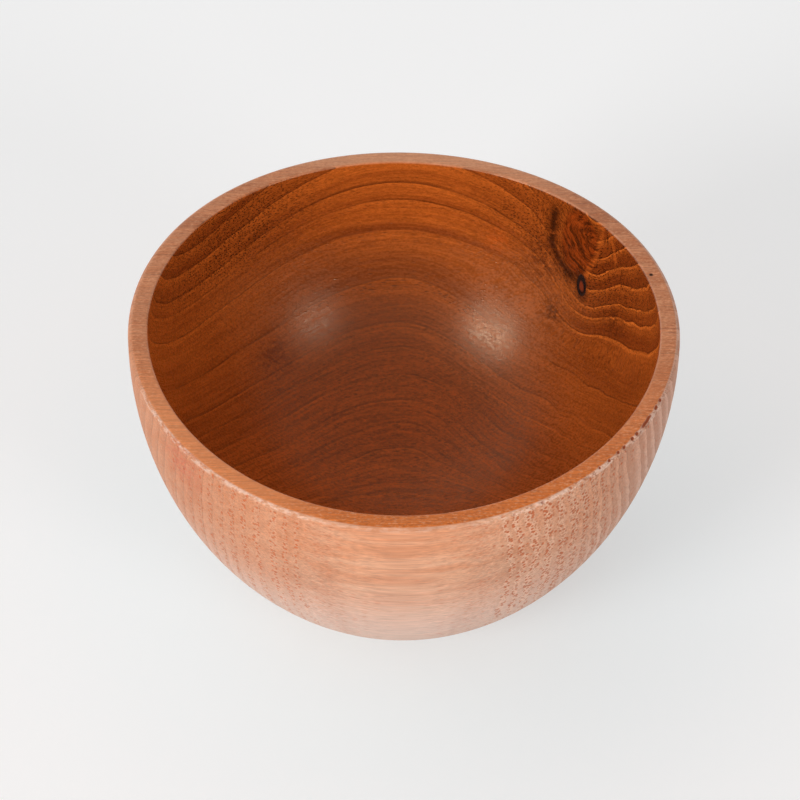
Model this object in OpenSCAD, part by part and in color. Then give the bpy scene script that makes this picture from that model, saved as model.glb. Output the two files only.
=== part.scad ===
// Sauce bowl turned from one block of teak, with a small encased knot in its wall.
// The bowl stands on its flat foot, its axis is Z and the knot lies to the right and rear.

/* [Bowl] */
// Widest diameter of the wall
bowl_d = 100; // [80:1:140]
// Height from the table to the top of the rim
bowl_h = 58; // [48:1:80]
// Diameter of the flat foot
foot_d = 44; // [30:1:60]
// How far below the rim the wall is widest
belly_drop = 3; // [1.5:0.5:8]

/* [Wall] */
// Width of the rim, from the widest point of the outside to the inner edge
rim_t = 3.7; // [3:0.1:6]
// Thickness of the floor in the middle
floor_t = 7; // [5:0.5:12]
// Rounding of the rim's outer edge
rim_outer_r = 1.1; // [0.5:0.1:1.4]
// Rounding of the rim's inner edge
rim_inner_r = 0.4; // [0.2:0.1:0.8]
// Rounding of the foot's edge
foot_r = 1; // [0.5:0.1:2]

/* [Knot] */
// Diameter of the knot with its bark
knot_d = 2.4; // [1.6:0.1:3]
// Thickness of the bark sleeve
bark_t = 0.4; // [0.3:0.05:0.6]
// Shrinkage gap on each side of the bark
bark_gap = 0.03; // [0.02:0.01:0.05]
// Direction of the knot seen from above, counted from the right-hand side
knot_azimuth = 41; // [20:1:70]
// How far below the rim the inside wall cuts the knot's axis
knot_drop = 16.6; // [10:0.1:22]
// How far the knot runs into the wall along its axis
knot_depth = 3.2; // [2:0.1:4]
// Lean of the knot from upright, towards the right
knot_lean = 25; // [15:1:35]

/* [Hidden] */
$fn = 180;

// Distance from an arc's centre line to the arc, at a height above or below that centre
function chord(r, rise) = sqrt(r * r - rise * rise);

// Outside: one arc from the widest point down to the foot, its centre level with the widest point
bowl_r = bowl_d / 2;
belly_z = bowl_h - belly_drop;
wall_in = bowl_r - foot_d / 2;
wall_r = (wall_in * wall_in + belly_z * belly_z) / (2 * wall_in);
wall_centre = [bowl_r - wall_r, belly_z];

// Inside: part of a sphere through the rim's inner edge and the middle of the floor
mouth_r = bowl_r - rim_t;
hollow_h = bowl_h - floor_t;
hollow_r = (mouth_r * mouth_r + hollow_h * hollow_h) / (2 * hollow_h);
hollow_centre = [0, floor_t + hollow_r];

// Centres of the three edge roundings, each touching a flat face and the curved wall beside it
outer_edge_z = bowl_h - rim_outer_r;
outer_edge = [wall_centre[0] + chord(wall_r - rim_outer_r, outer_edge_z - belly_z), outer_edge_z];
inner_edge_z = bowl_h - rim_inner_r;
inner_edge = [chord(hollow_r + rim_inner_r, inner_edge_z - hollow_centre[1]), inner_edge_z];
foot_edge = [wall_centre[0] + chord(wall_r - foot_r, foot_r - belly_z), foot_r];

// How far the piece that a rounding takes off reaches past its touching points, in roundings
corner_reach = 1.5;

// Knot: where its axis meets the inside wall, and how far its cutter reaches clear above that
knot_z = bowl_h - knot_drop;
knot_r = chord(hollow_r, knot_z - hollow_centre[1]);
knot_clear = 3 * knot_d;
core_d = knot_d - 2 * bark_t;

// Rounds the corner of a section between the flat face at flat_z and the arc round arc_centre,
// where side is 1 for wood inside the arc and -1 for wood outside it
module rounded(edge, r, flat_z, arc_centre, side) {
    away = edge - arc_centre;
    to_arc = side * away / norm(away) * r * corner_reach;
    to_flat = [0, flat_z - edge[1]] * corner_reach;
    difference() {
        children();
        polygon([edge, edge + to_flat, edge + to_flat + to_arc, edge + to_arc]);
    }
    translate(edge) circle(r);
}

// Half section of the bowl with its edges still sharp
module sharp_section() {
    difference() {
        intersection() {
            translate(wall_centre) circle(wall_r);
            square([bowl_r, bowl_h]);
        }
        translate(hollow_centre) circle(hollow_r);
    }
}

// The turned block before the knot's place is taken out of it
module turned_block() {
    rotate_extrude()
        rounded(outer_edge, rim_outer_r, bowl_h, wall_centre, 1)
        rounded(inner_edge, rim_inner_r, bowl_h, hollow_centre, -1)
        rounded(foot_edge, foot_r, 0, wall_centre, 1)
        sharp_section();
}

// Straight peg along the knot's axis, from a depth inside the wall to clear of it
module peg(d, depth) {
    rotate([0, 0, knot_azimuth]) translate([knot_r, 0, knot_z]) rotate([0, -knot_lean, -knot_azimuth])
        translate([0, 0, -depth]) cylinder(d = d, h = depth + knot_clear);
}

// Vessel: wall, rim, floor and foot in one piece of wood, with the hole that the knot fills
module bowl() {
    color("peru") difference() {
        turned_block();
        peg(knot_d + 2 * bark_gap, knot_depth + bark_gap);
    }
}

// Sleeve of bark round the knot, flush with the inside wall
module knot_bark() {
    color("saddlebrown") intersection() {
        turned_block();
        difference() {
            peg(knot_d, knot_depth);
            peg(core_d + 2 * bark_gap, knot_depth + bark_gap);
        }
    }
}

// Peg of branch wood in the sleeve, flush with the inside wall
module knot_core() {
    color("sienna") intersection() {
        turned_block();
        peg(core_d, knot_depth);
    }
}

bowl();
knot_bark();
knot_core();
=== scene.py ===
import math
import bpy
from mathutils import Matrix, Vector, noise


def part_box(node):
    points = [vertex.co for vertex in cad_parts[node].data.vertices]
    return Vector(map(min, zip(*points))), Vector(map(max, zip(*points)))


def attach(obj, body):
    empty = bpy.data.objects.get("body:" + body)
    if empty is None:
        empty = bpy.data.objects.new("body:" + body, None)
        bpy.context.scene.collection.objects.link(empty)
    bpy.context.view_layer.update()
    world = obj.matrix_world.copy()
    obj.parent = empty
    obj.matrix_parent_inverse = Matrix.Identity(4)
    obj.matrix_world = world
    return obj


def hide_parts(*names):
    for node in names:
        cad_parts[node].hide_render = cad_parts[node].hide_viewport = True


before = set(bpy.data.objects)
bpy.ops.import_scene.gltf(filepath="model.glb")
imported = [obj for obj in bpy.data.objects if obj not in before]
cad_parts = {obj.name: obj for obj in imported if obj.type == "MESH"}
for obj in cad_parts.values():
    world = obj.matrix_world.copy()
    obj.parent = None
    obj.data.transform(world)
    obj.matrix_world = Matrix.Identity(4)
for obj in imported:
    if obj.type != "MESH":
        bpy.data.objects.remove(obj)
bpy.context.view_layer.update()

# Bowl
# The vessel is turned on a lathe from one block of teak: wall, rim, floor and foot are one piece of wood.
# Its outside is one arc, its inside part of a sphere, and the rim is left flat with a softened outer edge.
MM = 0.001
bowl_low, bowl_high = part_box("bowl")
bowl_r = (bowl_high[0] - bowl_low[0]) / 2
bowl_h = bowl_high[2]
foot_d = 44 * MM
belly_drop = 3 * MM
rim_width = 3.7 * MM
floor_thickness = 7 * MM
rim_outer_round = 1.1 * MM
rim_inner_round = 0.4 * MM
foot_round = 1 * MM
turning_steps = 840


def chord(radius, rise):
    """Distance from an arc's centre line to the arc, at a height above or below its centre."""
    return math.sqrt(radius ** 2 - rise ** 2)


def arc_to(centre, radius, start, end, steps):
    """Points of an arc in the bowl's half section, between two angles, without the first."""
    angles = [start + (end - start) * i / steps for i in range(1, steps + 1)]
    return [(centre[0] + radius * math.cos(a), centre[1] + radius * math.sin(a)) for a in angles]


def line_to(start, end, steps):
    """Points of a straight stretch of the half section, without the first."""
    return [tuple(s + (e - s) * i / steps for s, e in zip(start, end)) for i in range(1, steps + 1)]


def bearing(centre, point):
    """Angle of a point seen from a centre, in the half section."""
    return math.atan2(point[1] - centre[1], point[0] - centre[0])


belly_z = bowl_h - belly_drop
wall_in = bowl_r - foot_d / 2
wall_r = (wall_in ** 2 + belly_z ** 2) / (2 * wall_in)
wall_centre = (bowl_r - wall_r, belly_z)
hollow_h = bowl_h - floor_thickness
hollow_r = ((bowl_r - rim_width) ** 2 + hollow_h ** 2) / (2 * hollow_h)
hollow_centre = (0.0, floor_thickness + hollow_r)
outer_z = bowl_h - rim_outer_round
outer_edge = (wall_centre[0] + chord(wall_r - rim_outer_round, outer_z - belly_z), outer_z)
inner_z = bowl_h - rim_inner_round
inner_edge = (chord(hollow_r + rim_inner_round, inner_z - hollow_centre[1]), inner_z)
foot_edge = (wall_centre[0] + chord(wall_r - foot_round, foot_round - belly_z), foot_round)

# Half section, from the middle of the foot round the outside and the rim to the middle of the floor
down, up = -math.pi / 2, math.pi / 2
foot_touch = bearing(wall_centre, foot_edge)
rim_touch = bearing(wall_centre, outer_edge)
mouth_touch = bearing(hollow_centre, inner_edge)
section = [(0.0, 0.0)]
section += line_to(section[-1], (foot_edge[0], 0.0), steps=8)
section += arc_to(foot_edge, foot_round, down, foot_touch, steps=4)
section += arc_to(wall_centre, wall_r, foot_touch, rim_touch, steps=34)
section += arc_to(outer_edge, rim_outer_round, rim_touch, up, steps=9)
section += line_to(section[-1], (inner_edge[0], bowl_h), steps=5)
section += arc_to(inner_edge, rim_inner_round, up, math.pi + mouth_touch, steps=4)
section += arc_to(hollow_centre, hollow_r, mouth_touch, down, steps=42)

bpy.ops.object.select_all(action="DESELECT")
bpy.ops.mesh.primitive_plane_add(size=bowl_r)
bowl = bpy.context.object
bowl.name = "turned_bowl"
bpy.ops.object.mode_set(mode="EDIT")
bpy.ops.mesh.select_all(action="SELECT")
bpy.ops.mesh.merge(type="CENTER")
for start, end in zip(section, section[1:]):
    step = (end[0] - start[0], 0.0, end[1] - start[1])
    bpy.ops.mesh.extrude_region_move(TRANSFORM_OT_translate={"value": step})
bpy.ops.object.mode_set(mode="OBJECT")
lathe = bowl.modifiers.new("lathe", "SCREW")
lathe.axis = "Z"
lathe.angle = 2 * math.pi
lathe.steps = turning_steps
lathe.render_steps = turning_steps
bpy.ops.object.modifier_apply(modifier=lathe.name)
bpy.ops.object.mode_set(mode="EDIT")
bpy.ops.mesh.select_all(action="SELECT")
bpy.ops.mesh.remove_doubles(threshold=0.002 * MM)
bpy.ops.mesh.normals_make_consistent(inside=False)
bpy.ops.object.mode_set(mode="OBJECT")

# The hole that the knot fills, and a pinhole in the rim, whose cutter sits a hair above the rim's plane
knot_d = 2.4 * MM
bark_gap = 0.03 * MM
knot_depth = 3.2 * MM
knot_clear = 7 * MM
knot_azimuth = math.radians(41)
knot_lean = math.radians(25)
knot_drop = 16.6 * MM
knot_z = bowl_h - knot_drop
knot_r = chord(hollow_r, knot_z - hollow_centre[1])
knot_spot = Vector((knot_r * math.cos(knot_azimuth), knot_r * math.sin(knot_azimuth), knot_z))
knot_axis = Vector((-math.sin(knot_lean), 0, math.cos(knot_lean)))
pinhole_lift = 0.04 * MM
pinhole_spot = Vector((45.2 * MM, 14.2 * MM, bowl_h + pinhole_lift))
pinhole_reach = (0.42 * MM, 0.24 * MM, 0.39 * MM)


def peg(radius, depth):
    """A cylinder along the knot's axis, from a depth in the wall to clear of it."""
    middle = knot_spot + knot_axis * (knot_clear - depth) / 2
    turn = knot_axis.to_track_quat("Z", "Y").to_euler()
    bpy.ops.object.select_all(action="DESELECT")
    bpy.ops.mesh.primitive_cylinder_add(
        vertices=64, radius=radius, depth=knot_clear + depth, location=middle, rotation=turn)
    bpy.ops.object.transform_apply()
    return bpy.context.object


def carve(piece, tool):
    """Cuts a tool's shape out of a piece and takes the tool away."""
    bpy.context.view_layer.objects.active = piece
    cut = piece.modifiers.new("cut", "BOOLEAN")
    cut.operation = "DIFFERENCE"
    cut.solver = "MANIFOLD"
    cut.object = tool
    bpy.ops.object.modifier_apply(modifier=cut.name)
    bpy.data.objects.remove(tool)
    piece.data.materials.clear()


carve(bowl, peg(knot_d / 2 + bark_gap, knot_depth + bark_gap))
bpy.ops.mesh.primitive_uv_sphere_add(segments=24, ring_count=12, radius=1, location=pinhole_spot)
pinhole = bpy.context.object
pinhole.scale = pinhole_reach
bpy.ops.object.transform_apply()
carve(bowl, pinhole)

# Drying pulls the wood a little out of round, and the outer edge of the rim is nicked where the fibres end.
# Each nick has its middle and half its length in degrees round the bowl; all lie at one bearing on the edge.
swell_sin2, swell_cos3, swell_sin3 = -0.15 * MM, 0.17 * MM, 0.51 * MM
oil_fade = 0.35 * MM
nick_depth = 0.28 * MM
nick_turns = (
    (-29, 2.7), (-33.2, 0.5), (-34.9, 0.6), (-38, 0.5), (-40, 0.4),
    (-43, 0.4), (-46, 0.3), (-24.4, 0.8), (-22, 0.6))
nick_bearing, nick_spread = 60, 22
nick_wander, nick_wander_step = 8, 1.5
nick_steepness = 1.6
edge_skin, edge_drop, edge_width = 0.9, 1.2 * MM, 0.6 * MM


def settle(piece):
    """Lets a piece go out of round by a fraction of a millimetre, more towards the rim."""
    for vertex in piece.data.vertices:
        turn = math.atan2(vertex.co.y, vertex.co.x)
        swell = swell_sin2 * math.sin(2 * turn)
        swell += swell_cos3 * math.cos(3 * turn) + swell_sin3 * math.sin(3 * turn)
        grow = 1 + swell / bowl_r * vertex.co.z / bowl_h
        vertex.co.x *= grow
        vertex.co.y *= grow


nicks, oil = [], []
for vertex in bowl.data.vertices:
    place = vertex.co
    beyond = (place - Vector((0, 0, hollow_centre[1]))).length - hollow_r
    oil.append(min(1.0, max(0.0, 1 - beyond / oil_fade)))
    reach = math.hypot(place.x, place.y)
    around = math.atan2(place.z - outer_z, reach - outer_edge[0])
    from_edge = math.hypot(place.z - outer_z, reach - outer_edge[0]) / rim_outer_round
    nick = 0.0
    if from_edge > edge_skin and place.z > outer_z - edge_drop and reach > outer_edge[0] - edge_width:
        turn = math.degrees(math.atan2(place.y, place.x))
        wander = nick_wander * noise.noise(Vector((turn / nick_wander_step, 0, 0)))
        weight = max(0.0, 1 - abs(math.degrees(around) - nick_bearing - wander) / nick_spread)
        along = max(1 - abs(turn - middle) / half for middle, half in nick_turns)
        nick = weight * min(1.0, max(0.0, along * nick_steepness))
    nicks.append(nick)
    if nick > 0:
        inward = Vector((outer_edge[0] * place.x / reach, outer_edge[0] * place.y / reach, outer_z)) - place
        vertex.co += inward.normalized() * nick * nick_depth
for name, values in (("nick", nicks), ("oil", oil)):
    bowl.data.attributes.new(name, "FLOAT", "POINT").data.foreach_set("value", values)
settle(bowl)
bpy.ops.object.select_all(action="DESELECT")
bowl.select_set(True)
bpy.context.view_layer.objects.active = bowl
bpy.ops.object.shade_smooth_by_angle(angle=math.radians(40))


class Shade:
    """A socket of a material. Sums and products of it become Math nodes, and node() adds any other node."""

    def __init__(self, socket):
        self.socket = socket

    def node(self, kind, settings=None, inputs=None, output=0):
        """Any node, with its settings, values or links for its inputs, and the output that is wanted."""
        tree = self.socket.id_data
        new = tree.nodes.new("ShaderNode" + kind)
        for name, value in (settings or {}).items():
            if name == "points":
                curve = new.mapping.curves[0]
                while len(curve.points) < len(value):
                    curve.points.new(0.5, 0.5)
                for point, place in zip(curve.points, value):
                    point.location = place
                    point.handle_type = "VECTOR"
                new.mapping.update()
            else:
                setattr(new, name, value)
        for name, value in (inputs or {}).items():
            if isinstance(value, Shade):
                tree.links.new(value.socket, new.inputs[name])
            else:
                new.inputs[name].default_value = value
        return Shade(new.outputs[output])

    def maths(self, operation, first, second=0.0):
        return self.node("Math", {"operation": operation}, {0: first, 1: second})

    def __add__(self, other):
        return self.maths("ADD", self, other)

    def __radd__(self, other):
        return self.maths("ADD", other, self)

    def __sub__(self, other):
        return self.maths("SUBTRACT", self, other)

    def __rsub__(self, other):
        return self.maths("SUBTRACT", other, self)

    def __mul__(self, other):
        return self.maths("MULTIPLY", self, other)

    def __rmul__(self, other):
        return self.maths("MULTIPLY", other, self)

    def __truediv__(self, other):
        return self.maths("DIVIDE", self, other)

    def __rtruediv__(self, other):
        return self.maths("DIVIDE", other, self)

    def root(self):
        return self.maths("SQRT", self)

    def exp(self):
        return self.maths("EXPONENT", self)

    def size(self):
        return self.maths("ABSOLUTE", self)

    def part(self):
        return self.maths("FRACT", self)

    def whole(self):
        return self.maths("FLOOR", self)

    def rise(self, start, end, low=0.0, high=1.0):
        """Goes smoothly from low at start to high at end; start may lie above end."""
        return self.node(
            "MapRange", {"interpolation_type": "SMOOTHSTEP"}, {0: self, 1: start, 2: end, 3: low, 4: high})

    def ramp(self, start, end, low, high):
        """Goes evenly from low at start to high at end, and stays there."""
        return self.node("MapRange", None, {0: self, 1: start, 2: end, 3: low, 4: high})

    def mix(self, first, second):
        """A colour between two, by this value."""
        return self.node("Mix", {"data_type": "RGBA"}, {0: self, 6: first, 7: second}, 2)

    def parts(self):
        """The three parts of a place or colour."""
        first = self.node("SeparateXYZ", None, {0: self})
        return [Shade(socket) for socket in first.socket.node.outputs]

    def far(self, place):
        """Distance of this place from another."""
        return self.node("VectorMath", {"operation": "DISTANCE"}, {0: self, 1: place}, 1)

    def noise(self, stretch, detail=2.0, rough=0.5, shift=(0, 0, 0)):
        """Noise from 0 to 1 on this place, with features of about the given sizes."""
        scale = tuple(1 / s for s in stretch)
        place = self.node("Mapping", None, {"Vector": self, "Location": shift, "Scale": scale})
        inputs = {"Vector": place, "Scale": 1.0, "Detail": detail, "Roughness": rough}
        return place.node("TexNoise", None, inputs)

    def feed(self, node, name):
        """Links this to a socket of a node."""
        self.socket.id_data.links.new(self.socket, node.inputs[name])


def rgb(red, green, blue):
    """A colour written as it looks on screen, from 0 to 255, as the shader takes it."""
    def linear(c):
        c /= 255
        return c / 12.92 if c < 0.04045 else ((c + 0.055) / 1.055) ** 2.4
    return (linear(red), linear(green), linear(blue), 1.0)


def new_material(name):
    """An empty material with its shader, and the place on the piece in millimetres."""
    material = bpy.data.materials.new(name)
    material.use_nodes = True
    shader = material.node_tree.nodes["Principled BSDF"]
    spot = Shade(shader.outputs[0]).node("TexCoord", None, None, "Object")
    return material, shader, spot.node("VectorMath", {"operation": "SCALE"}, {0: spot, "Scale": 1 / MM})


# Growth rings of the block, in millimetres from the pith, which runs along X behind and above the rim.
# The branch pushes them aside, slow bends in the trunk sway them, and on the floor they come to a peak.
pith_y, pith_z = 29.0, 67.0
ring_radii = (
    0, 5, 9.5, 13.7, 17.9, 22.4, 25.1, 29.8, 36.8, 43, 46.3, 49.6, 52.6, 55.2, 57.4, 61,
    63, 65, 67, 68.8, 70.5, 72.2, 73.7, 75.2, 76.8, 77.7, 78.5, 88)
ring_reach = ring_radii[-1]
branch_x0, branch_y0, branch_z0 = (c / MM for c in knot_spot)
branch_slope = math.tan(knot_lean)

teak, shader, spot = new_material("oiled_teak")
x, y, z = spot.parts()
inside = spot.node("Attribute", {"attribute_name": "oil"}, None, 2)
right = x.rise(8, 30)
across = y - pith_y
below = pith_z - z
straight = (across * across + below * below).root()
side = y - branch_y0
branch_x = x - (branch_x0 + (branch_z0 - z) * branch_slope)
branch = (branch_x * branch_x + side * side).root()
swerve = (side - straight.ramp(19, 33, 1.2, -2.2)) / 5.7
push = (swerve * swerve * -1.0).exp() * straight.ramp(17, 35, 8.6, 4.2)
push = push * x.rise(10, 26) * straight.rise(40, 33)
sway = (spot.noise((90, 28, 28), 1.0) - 0.5) * 1.2
sway = sway + (spot.noise((16, 5, 5), 2.0) - 0.5) * (right * 1.1 + 0.7)
sway = sway + straight.rise(50, 75) * (z - 43.0) * 0.12 - x.rise(22, 42) * straight.rise(36, 30) * 1.1
peak = (x.rise(0, 24) * 4.4 + x.rise(0, -27) * 1.7) * (straight - push).rise(31, 37) * straight.rise(64, 58)
radius = straight + sway - push - peak * inside
pull = radius / straight
fibre = x.node("CombineXYZ", None, {0: x, 1: across * pull, 2: below * pull})
count = len(ring_radii) - 1
curve = [(r / ring_reach, i / count) for i, r in enumerate(ring_radii)]
ring = radius.node("FloatCurve", {"points": curve}, {1: radius / ring_reach}) * float(count)
age = ring.part()
year = ring.whole()
tone = year.node("TexWhiteNoise", {"noise_dimensions": "1D"}, {"W": year}, 0)

# Where the flat of the rim lies, and how far the fibres end at the surface
rim = z.rise(57.86, 57.97) * (1 - inside)
facing = spot.node("TexCoord", None, None, "Normal").parts()[0].size()
end_grain = facing.rise(0.12, 0.65)

# Ring lines, clear near the pith and on end grain, faint elsewhere
near = radius.rise(40, 28)
show = near * (radius.rise(29, 25) * (1 - end_grain) + end_grain * end_grain)
late = age.rise(0.15, 0.95 - right * 0.35) * age.rise(1.0, 0.97)
fade = fibre.noise((22, 5, 5), 2.0).rise(0.3, 0.62)
wide = radius.rise(27, 31) * radius.rise(48, 44)
dark_line = age.rise(wide * 0.09 + 0.84, 0.985) * age.rise(1.0, 0.995) * (fade * 0.7 + 0.3)
light_line = age.rise(0.0, 0.015) * age.rise(0.15, 0.07) * (fade * 0.6 + 0.4)

# Fibres, uneven layers along the rings, and pores, which are dots on end grain and dashes elsewhere
patch = spot.noise((120, 26, 26), 2.0)
streak = fibre.noise((24, 0.5, 0.5), 3.0, 0.6)
grit = spot.noise((0.8, 0.45, 0.45), 3.0, 0.7)
layers = x.node("CombineXYZ", None, {0: x, 1: radius, 2: across / straight * 40.0})
layer = layers.noise((80, 1.25, 27), 5.0, 0.65)
thread = fibre.noise((9, 0.28, 0.28), 2.0, 0.65)
thread = thread + (layers.noise((8, 0.3, 8), 2.0, 0.65) - thread) * inside * 0.7


def pores(length, width):
    """Distance to the nearest pore, in pore widths, and a chance for that pore."""
    place = fibre.node("Mapping", None, {"Vector": fibre, "Scale": (1 / length, 1 / width, 1 / width)})
    cell = fibre.node("TexVoronoi", {"feature": "F1"}, {"Vector": place, "Scale": 1.0})
    return cell, Shade(cell.socket.node.outputs["Color"]).parts()[0]


small_cell, small_luck = pores(0.9, 0.3)
small = small_cell.rise(0.55, 0.25) * small_luck.rise(0.95, 0.6)
dot_cell, dot_luck = pores(0.72, 0.66)
coarse = radius.rise(56, 76)
chain = age.rise(0.4 - right * 0.2, 0.75 - right * 0.2) * age.rise(1.0, 0.96) * radius.rise(78.6, 78.4)
crowd = chain * (coarse * 0.85 + 0.1) * (fade * 0.4 + 0.6) + coarse * (right * 0.08 + 0.05)
ends_show = facing.rise(0.2, 0.34)
dot = dot_cell.rise(0.52, 0.28) * (crowd - dot_luck).rise(-0.05, 0.1) * ends_show * (1 - inside)
dash_cell, dash_luck = pores(2.2, 0.4)
spring = age.rise(0.0, 0.02) * age.rise(0.3, 0.1)
sparse = (spring * 0.85 + 0.1 - dash_luck).rise(-0.05, 0.1)
dash = dash_cell.rise(0.42, 0.2) * sparse * facing.rise(0.6, 0.25)

# How deep the wood's own colour is, by ring, layer, patch and streak
flank = x.rise(30, 36)
innermost = radius.rise(27, 21)
fill = show * (innermost * (1 - right) + flank)
bands = late * (fill * (right * 0.1 + 0.24) + wide * (1 - end_grain) * 0.3 + 0.05)
bands = bands + (tone - 0.5) * 0.1 + (layer - 0.5) * 0.9
depth = bands + (patch - 0.5) * 0.5 + (streak - 0.5) * 0.5
depth = (depth + 0.38).rise(-0.1, 1.1)

# Oiled hollow: orange to deep brown, darker on end grain, with lines and pores, and lighter low down and at
# the front as painted light against the shade there
oiled = depth.mix(rgb(210, 106, 36), rgb(128, 53, 14))
oiled = (end_grain * (right * 0.15 + 0.15)).mix(oiled, rgb(98, 38, 8))
oiled = (dark_line * (show * 0.4 + radius.rise(31, 35) * 0.3 + 0.18)).mix(oiled, rgb(58, 20, 6))
line_show = show * (flank * 0.45 + right * 0.15 + 0.15) + radius.rise(38, 42) * 0.25 + 0.02
oiled = (light_line * line_show).mix(oiled, rgb(230, 120, 44))
oiled = (small * end_grain * (innermost * 0.5 + near * 0.3 + 0.15)).mix(oiled, rgb(42, 14, 4))
oiled = (dash * (radius.rise(33, 37) * 0.35 + 0.3)).mix(oiled, rgb(62, 20, 6))
# Painted light: the floor of the hollow is lightened against the shade it lies in
oiled = (z.rise(34, 12) * 0.3).mix(oiled, rgb(232, 122, 44))
# Painted sheen: the front of the hollow and its low right are lightened against the rim's shade
painted_light_low_right = x.rise(12, 26) * y.rise(26, 12) * z.rise(31, 22)
oiled = (y.rise(2, -32) * 0.15 + painted_light_low_right * 0.3).mix(oiled, rgb(214, 108, 40))
oiled = (y.rise(20, 34) * z.rise(46, 36) * 0.22).mix(oiled, rgb(216, 126, 64))

# Drier outside: pale tan, paler and greyer towards the foot and the right as painted reflection of the pale
# table and room, with open pores and their raised lips, whose pale rings are partly a painted highlight
dry = depth.mix(rgb(222, 156, 118), rgb(180, 110, 76))
broad = fibre.noise((60, 2.4, 2.4), 2.0).rise(0.3, 0.7)
dry = (broad * 0.5).mix(dry, rgb(228, 184, 154))
dry = (facing.rise(0.15, 0.4) * 0.25).mix(dry, rgb(168, 104, 72))
# Painted reflection: paler towards the foot, where the pale table is reflected
dry = z.rise(48, 20).mix(dry, depth.mix(rgb(228, 196, 180), rgb(198, 154, 134)))
# Painted reflection: greyer at the right edge, where the room is reflected at a glancing angle
dry = (x.rise(32, 48) * 0.6).mix(dry, rgb(206, 174, 160))
dry = (x.rise(-8, -26) * z.rise(22, 40) * 0.35).mix(dry, rgb(204, 128, 86))
dry = (z.rise(46, 54) * 0.2).mix(dry, rgb(204, 124, 80))
dry = (late * facing.rise(0.4, 0.7) * (x.rise(-10, 10) * 0.3 + 0.2)).mix(dry, rgb(156, 96, 64))
dry = (dark_line * (radius.rise(73, 66) * 0.4 + 0.05)).mix(dry, rgb(136, 84, 58))
dry = (small * end_grain * (right * 0.2 + 0.22)).mix(dry, rgb(156, 88, 56))
# Pale rings round the pores: raised lips, partly a painted highlight on them
lip_highlight = dot_cell.rise(0.85, 0.65) * dot_cell.rise(0.42, 0.58) * coarse * ends_show
right_half = x.rise(-12, 12)
dry = (lip_highlight * (chain * 0.35 + 0.15) * (right_half * 0.65 + 0.35)).mix(dry, rgb(240, 196, 168))
pore_colour = right_half.mix(rgb(200, 94, 46), rgb(184, 82, 34))
dry = (dot * (right_half * 0.1 + 0.65)).mix(dry, pore_colour)
dry = (dash * 0.5).mix(dry, rgb(192, 98, 60))

# Rim: sanded flat, deep orange at the front as painted shade, and paler behind as a painted reflection
painted_sheen_top = depth.mix(rgb(206, 136, 96), rgb(188, 112, 71))
painted_shade_top = depth.mix(rgb(220, 116, 42), rgb(198, 96, 31))
top = y.rise(-42, 5).mix(painted_shade_top, painted_sheen_top)
top = (dark_line * 0.25).mix(top, rgb(126, 64, 36))
top = (grit.rise(0.52, 0.64) * 0.55).mix(top, rgb(222, 160, 120))
top = (grit.rise(0.45, 0.34) * 0.55).mix(top, rgb(154, 72, 34))
top = (small * 0.2 + dash * 0.4).mix(top, rgb(140, 66, 34))

# Curly wood swells out above the branch, smoke-dark round its rear, with bright edges on the other side
by_branch = x.rise(16, 22)
swell_side = (side - 2.5) / 3.2
swell_rise = (straight - 17.3) / 7.6
swell = (swell_side * swell_side + swell_rise * swell_rise).root()
curl_side = side - 0.3
curl_rise = (straight - 14.5) * 0.72
whorl = (curl_side * curl_side + curl_rise * curl_rise).root()
bend = spot.noise((4, 4, 4), 2.0) * 2.4
curl_parts = {0: whorl * 2.2 + bend * 2.2, 1: side * 0.3 + bend * 0.9, 2: straight * 0.25}
hair = x.node("CombineXYZ", None, curl_parts).noise((1, 1, 1), 4.0, 0.7)
curly = hair.rise(0.4, 0.6).mix(rgb(58, 19, 4), rgb(156, 64, 16))
oiled = (swell.rise(1.08, 0.85) * by_branch * 0.85).mix(oiled, curly)
first_off = (side - straight.ramp(9, 22, -1.6, 0.1)) / 0.7
first_edge = first_off.size().rise(1.0, 0.2) * straight.rise(27, 22)
second_off = (side - straight.ramp(8.5, 19, -2.8, -5.8)) / 0.6
second_edge = second_off.size().rise(1.0, 0.2) * straight.rise(20, 15)
oiled = ((first_edge + second_edge) * by_branch * hair.rise(0.3, 0.7) * 0.6).mix(oiled, rgb(216, 106, 36))
smoke_off = (swell - straight.ramp(21.5, 24.8, 1.42, 1.04)) / 0.21
smoke = (smoke_off * smoke_off * -1.0).exp() * side.rise(0.4, 2.2) * straight.rise(11.5, 15.5) * by_branch
smoke = smoke * spot.noise((4, 2, 2), 3.0, 0.65).rise(0.25, 0.48)
oiled = (smoke * 0.88).mix(oiled, rgb(42, 15, 5))
stain = branch.rise(2.4, 1.1) * straight.rise(19, 24) * by_branch
oiled = (stain * 0.6).mix(oiled, rgb(40, 16, 8))


def blot(place, size):
    """A soft, broken spot on the wood round a place."""
    away = spot.far(place) / size
    return (away * away * -1.0).exp() * spot.noise((2.5, 1.0, 1.0), 4.0, 0.7).rise(0.38, 0.58)


# Stains in the hollow and on the outside, each with its place, size, strength and colour
hollow_blots = (
    ((39.5, 20.8, 40.4), 4.0, 0.65, rgb(64, 23, 6)),
    ((29, 30.5, 33.5), 2.6, 0.7, rgb(56, 19, 6)),
    ((27, 36, 42), 5.0, 0.6, rgb(70, 25, 8)),
    ((-24.5, 26.8, 24.8), 5.0, 0.6, rgb(104, 27, 5)),
    ((18.1, 41.4, 42.4), 2.2, 0.5, rgb(214, 92, 20)))
for place, size, strength, colour in hollow_blots:
    oiled = (blot(place, size) * strength).mix(oiled, colour)
outside_blots = (
    ((-38.5, -31, 54), 5.0, 0.6, rgb(196, 88, 62)),
    ((-15, -45.5, 41), 5.0, 0.45, rgb(168, 116, 88)),
    ((16.5, -45.5, 44), 5.0, 0.45, rgb(166, 116, 88)))
for place, size, strength, colour in outside_blots:
    dry = (blot(place, size) * strength).mix(dry, colour)
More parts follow.
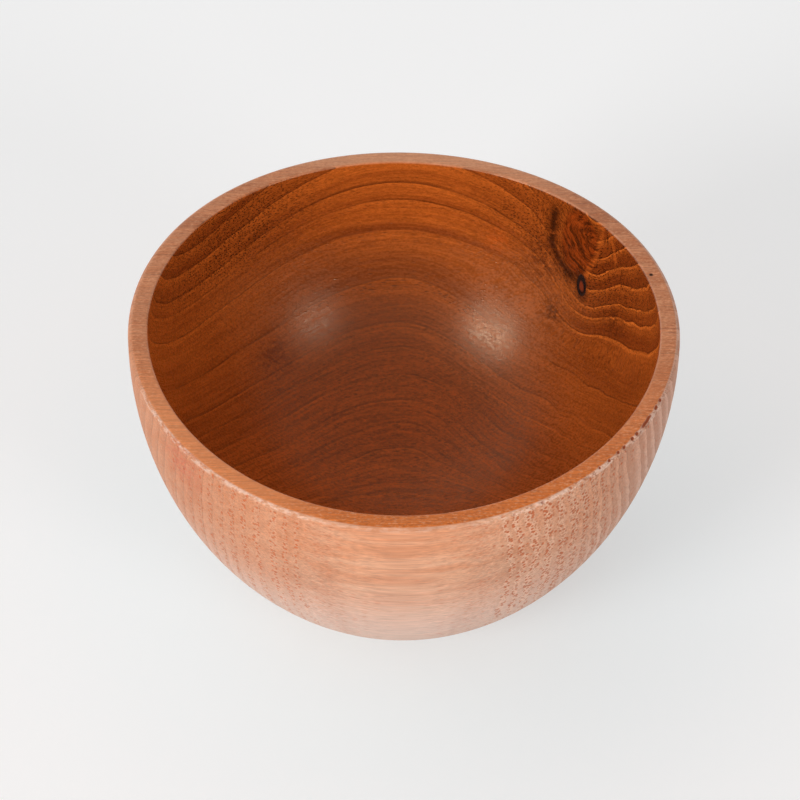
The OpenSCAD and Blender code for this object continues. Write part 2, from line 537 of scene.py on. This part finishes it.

# The rim's outer edge is pale, partly raw fibres and partly a painted highlight on its rounding, with small
# chips, and the rim's flat is tinted by place
edge = z.rise(57.0, 57.5) * z.rise(57.98, 57.8) * (1 - inside) * y.rise(-8, -24)
raw_and_highlight = edge * spot.noise((1.6, 1.6, 0.5), 3.0, 0.7).rise(0.4, 0.62) * (x.size().rise(10, 24) * 0.3 + 0.2)
dry = raw_and_highlight.mix(dry, rgb(240, 212, 196))
chip = edge * spot.noise((0.7, 0.7, 0.5), 2.0, 0.6, (7, 3, 0)).rise(0.56, 0.66) * x.rise(8, 24)
dry = (chip * 0.6).mix(dry, rgb(132, 66, 36))
# The rim's flat is paler at the back left as a painted reflection, darker in a patch at the back right, and
# lighter at the front left
top = (y.rise(32, 48) * x.rise(-28, -8) * 0.3).mix(top, rgb(224, 166, 128))
top = (blot((34, 33, 58), 9.0) * 0.4).mix(top, rgb(130, 70, 46))
top = (x.rise(-6, -28) * y.rise(-4, -26) * 0.5).mix(top, rgb(234, 150, 98))

# The three surfaces together, with the inner edge pale, partly worn and partly a painted highlight on its
# round, fine speckle, the open nicks and the pinhole painted dark as shade
wood = rim.mix(dry, top)
wood = inside.mix(wood, oiled)
# The pale inner edge: partly wear, partly a painted highlight on the inner round
worn_and_highlight = inside * (1 - inside) * 4.0 * spot.noise((6, 6, 6), 2.0).rise(0.4, 0.65)
wood = (worn_and_highlight * 0.35).mix(wood, rgb(220, 160, 128))
ground = inside * z.rise(32, 14)
speckle = (thread - 0.5) * (ground * 0.7 + 0.95) + (grit - 0.5) * (inside + ground * 0.5)
wood = wood.node("VectorMath", {"operation": "SCALE"}, {0: wood, "Scale": speckle + 1.0})
nick = spot.node("Attribute", {"attribute_name": "nick"}, None, 2)
wood = nick.rise(0.1, 0.45).mix(wood, rgb(150, 64, 28))
# Painted shade: the pinhole is coloured near black, standing for the shade inside it
pinhole_settled = (45.6, 14.3, 58)
pinhole_painted_shade = spot.far(pinhole_settled).rise(0.5, 0.25)
wood = pinhole_painted_shade.mix(wood, rgb(50, 22, 12))
wood.feed(shader, "Base Color")

# The oil gives the hollow a soft sheen, and the fibres and pores stand out a little everywhere
gloss = (thread - 0.5) * 0.5 + (grit - 0.5) * 0.5 + (streak - 0.5) * 0.3 + dot * 0.15 + 0.55 - inside * 0.27
gloss.feed(shader, "Roughness")
relief = (thread * 0.6 + streak * 0.4) * 0.5 + grit * inside * 0.35
relief = relief - small * end_grain * (0.25 - inside * 0.15) - dot * 1.2 - dash * 0.2
relief_depth = 0.12 * MM
bump = relief.node("Bump", None, {"Strength": 0.6, "Distance": relief_depth, "Height": relief})
bump.feed(shader, "Normal")
shader.inputs["Specular IOR Level"].default_value = 0.62
shader.inputs["Specular Tint"].default_value = (1.0, 0.77, 0.54, 1.0)
bowl.data.materials.append(teak)
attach(bowl, "root")
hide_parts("bowl")

# Knot bark
# A thin sleeve of dark bark round the stub of a dead branch, which the growing wood closed in.
# It was cut off with the wall on the lathe, and a hairline of shrinkage parts it from the wood round it.
bark_t = 0.4 * MM
core_d = knot_d - 2 * bark_t
bark_sunk = 0.12 * MM
skin_voxel = 0.06 * MM


def hollow(deeper):
    """A ball that fills the bowl's hollow and reaches a little deeper into the wall."""
    bpy.ops.object.select_all(action="DESELECT")
    bpy.ops.mesh.primitive_uv_sphere_add(
        segments=128, ring_count=64, radius=hollow_r + deeper, location=(0, 0, hollow_centre[1]))
    bpy.ops.object.transform_apply()
    return bpy.context.object


def weather(piece, voxel, size, depth):
    """Gives a cut piece an even fine mesh and a rough skin, and smooths its shading."""
    bpy.ops.object.select_all(action="DESELECT")
    piece.select_set(True)
    bpy.context.view_layer.objects.active = piece
    piece.data.remesh_voxel_size = voxel
    bpy.ops.object.voxel_remesh()
    for vertex in piece.data.vertices:
        vertex.co += vertex.co.normalized() * noise.noise(vertex.co / size) * depth
    settle(piece)
    bpy.ops.object.shade_smooth()


bark = peg(knot_d / 2, knot_depth)
bark.name = "bark_sleeve"
carve(bark, peg(core_d / 2 + bark_gap, knot_depth + bark_gap))
carve(bark, hollow(bark_sunk))
weather(bark, skin_voxel, size=0.35 * MM, depth=0.08 * MM)
bark_skin, bark_shader, bark_spot = new_material("knot_bark")
crumb = bark_spot.noise((0.5, 0.5, 0.9), 3.0, 0.6)
crumb.rise(0.35, 0.7).mix(rgb(26, 14, 11), rgb(52, 27, 18)).feed(bark_shader, "Base Color")
bark_shader.inputs["Roughness"].default_value = 0.85
bark_shader.inputs["Specular IOR Level"].default_value = 0.2
bark.data.materials.append(bark_skin)
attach(bark, "root")
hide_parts("knot_bark")

# Knot core
# The stub of the branch itself, a peg of red-brown wood that sits in its sleeve of bark.
# Its end was cut with the wall and lies just under it, dark at its rim and lighter at its heart.
core_sunk = 0.04 * MM
core = peg(core_d / 2, knot_depth)
core.name = "branch_stub"
carve(core, hollow(core_sunk))
weather(core, skin_voxel, size=0.5 * MM, depth=0.05 * MM)
branch_wood, core_shader, core_spot = new_material("branch_wood")
core_x, core_y, core_z = core_spot.parts()
core_x = core_x - (branch_x0 + (branch_z0 - core_z) * branch_slope)
core_y = core_y - branch_y0
middle = (core_x * core_x + core_y * core_y).root()
grain = core_spot.noise((0.35, 0.35, 1.2), 3.0, 0.6)
heart = (middle + (grain - 0.5) * 0.5).rise(0.75, 0.35)
heart.mix(rgb(30, 13, 8), rgb(124, 46, 13)).feed(core_shader, "Base Color")
core_shader.inputs["Roughness"].default_value = 0.5
core_shader.inputs["Specular IOR Level"].default_value = 0.25
core.data.materials.append(branch_wood)
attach(core, "root")
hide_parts("knot_core")

# Table
# A plain pale sheet under the bowl, which only takes its shadow.
# It glows faintly to the camera, and is a little cooler near the bowl, against the wood's warm light.
table_size = 4.0
bpy.ops.object.select_all(action="DESELECT")
bpy.ops.mesh.primitive_plane_add(size=table_size)
table = bpy.context.object
table.name = "table"
sheet, sheet_shader, sheet_spot = new_material("pale_sheet")
paper = sheet_spot.far((0, 0, 0)).rise(100, 35).mix(rgb(242, 242, 242), rgb(226, 238, 242))
paper.feed(sheet_shader, "Base Color")
sheet_shader.inputs["Roughness"].default_value = 0.8
seen = sheet_spot.node("LightPath", None, None, "Is Camera Ray")
glow, glow_share = 1.38, 0.25
pale = seen.node("Emission", None, {"Color": (1.0, 1.0, 1.0, 1.0), "Strength": glow})
sheet_look = seen.node("MixShader", None, {0: seen * glow_share, 1: Shade(sheet_shader.outputs[0]), 2: pale})
sheet_look.feed(sheet.node_tree.nodes["Material Output"], "Surface")
table.data.materials.append(sheet)

# Light
# Two large soft boxes stand to the left and right of the camera, the left one stronger.
# The pale room fills in, with a window at the left rear and a bright wall behind.
lamp_distance = 2.5
lamp_aim = Vector((0, 0, 0.03))
world = bpy.data.worlds.new("studio")
bpy.context.scene.world = world
world.use_nodes = True
backdrop = world.node_tree.nodes["Background"]
sky = Shade(backdrop.outputs[0]).node("TexCoord", None, None, "Generated").parts()
window = sky[1] * 0.7 - sky[0] * 0.7
room = sky[2].rise(0.0, 0.9, 0.69, 0.33) + window.rise(0.0, 0.9) * sky[2].rise(0.0, 0.3) * 0.45
room = room + sky[1].rise(0.2, 0.9) * sky[2].rise(0.5, 0.25) * 0.6
backdrop.inputs["Color"].default_value = (1, 1, 1, 1)
room.feed(backdrop, "Strength")


def soft_box(name, turn, height, wide, tall, power):
    """An upright soft box, at an angle to the right of the camera and above the table."""
    turn, height = math.radians(turn), math.radians(height)
    level = math.cos(height)
    towards = Vector((math.sin(turn) * level, -math.cos(turn) * level, math.sin(height)))
    bpy.ops.object.light_add(type="AREA", location=lamp_aim + towards * lamp_distance)
    lamp = bpy.context.object
    lamp.name = name
    lamp.rotation_euler = (-towards).to_track_quat("-Z", "Y").to_euler()
    lamp.data.shape = "RECTANGLE"
    lamp.data.size = wide
    lamp.data.size_y = tall
    lamp.data.energy = power


soft_box("left_box", turn=-47, height=21, wide=0.95, tall=0.9, power=33)
soft_box("right_box", turn=44, height=17, wide=0.85, tall=0.9, power=17)

# Camera
# It looks down on the bowl from the front, far enough away for a flat, long-lens view.
# Its height, aim and lens come from a fit to the rim and the outline of the bowl.
camera_elevation = math.radians(43.2)
camera_distance = 0.6
camera_aim = Vector((-0.0005, 0, 0.0395))
camera_roll = math.radians(0.18)
image_width = 800
focal_pixels = 3317
sensor_width = 36
rim_centre = Vector((0, 0, bowl_h))
eye = rim_centre + camera_distance * Vector((0, -math.cos(camera_elevation), math.sin(camera_elevation)))
bpy.ops.object.camera_add(location=eye)
camera = bpy.context.object
aim_turn = (camera_aim - eye).to_track_quat("-Z", "Y").to_matrix()
camera.rotation_euler = (aim_turn @ Matrix.Rotation(camera_roll, 3, "Z")).to_euler()
camera.data.sensor_width = sensor_width
camera.data.lens = focal_pixels / image_width * sensor_width
camera.data.clip_start = 0.01
bpy.context.scene.camera = camera
bpy.context.scene.view_settings.view_transform = "Standard"
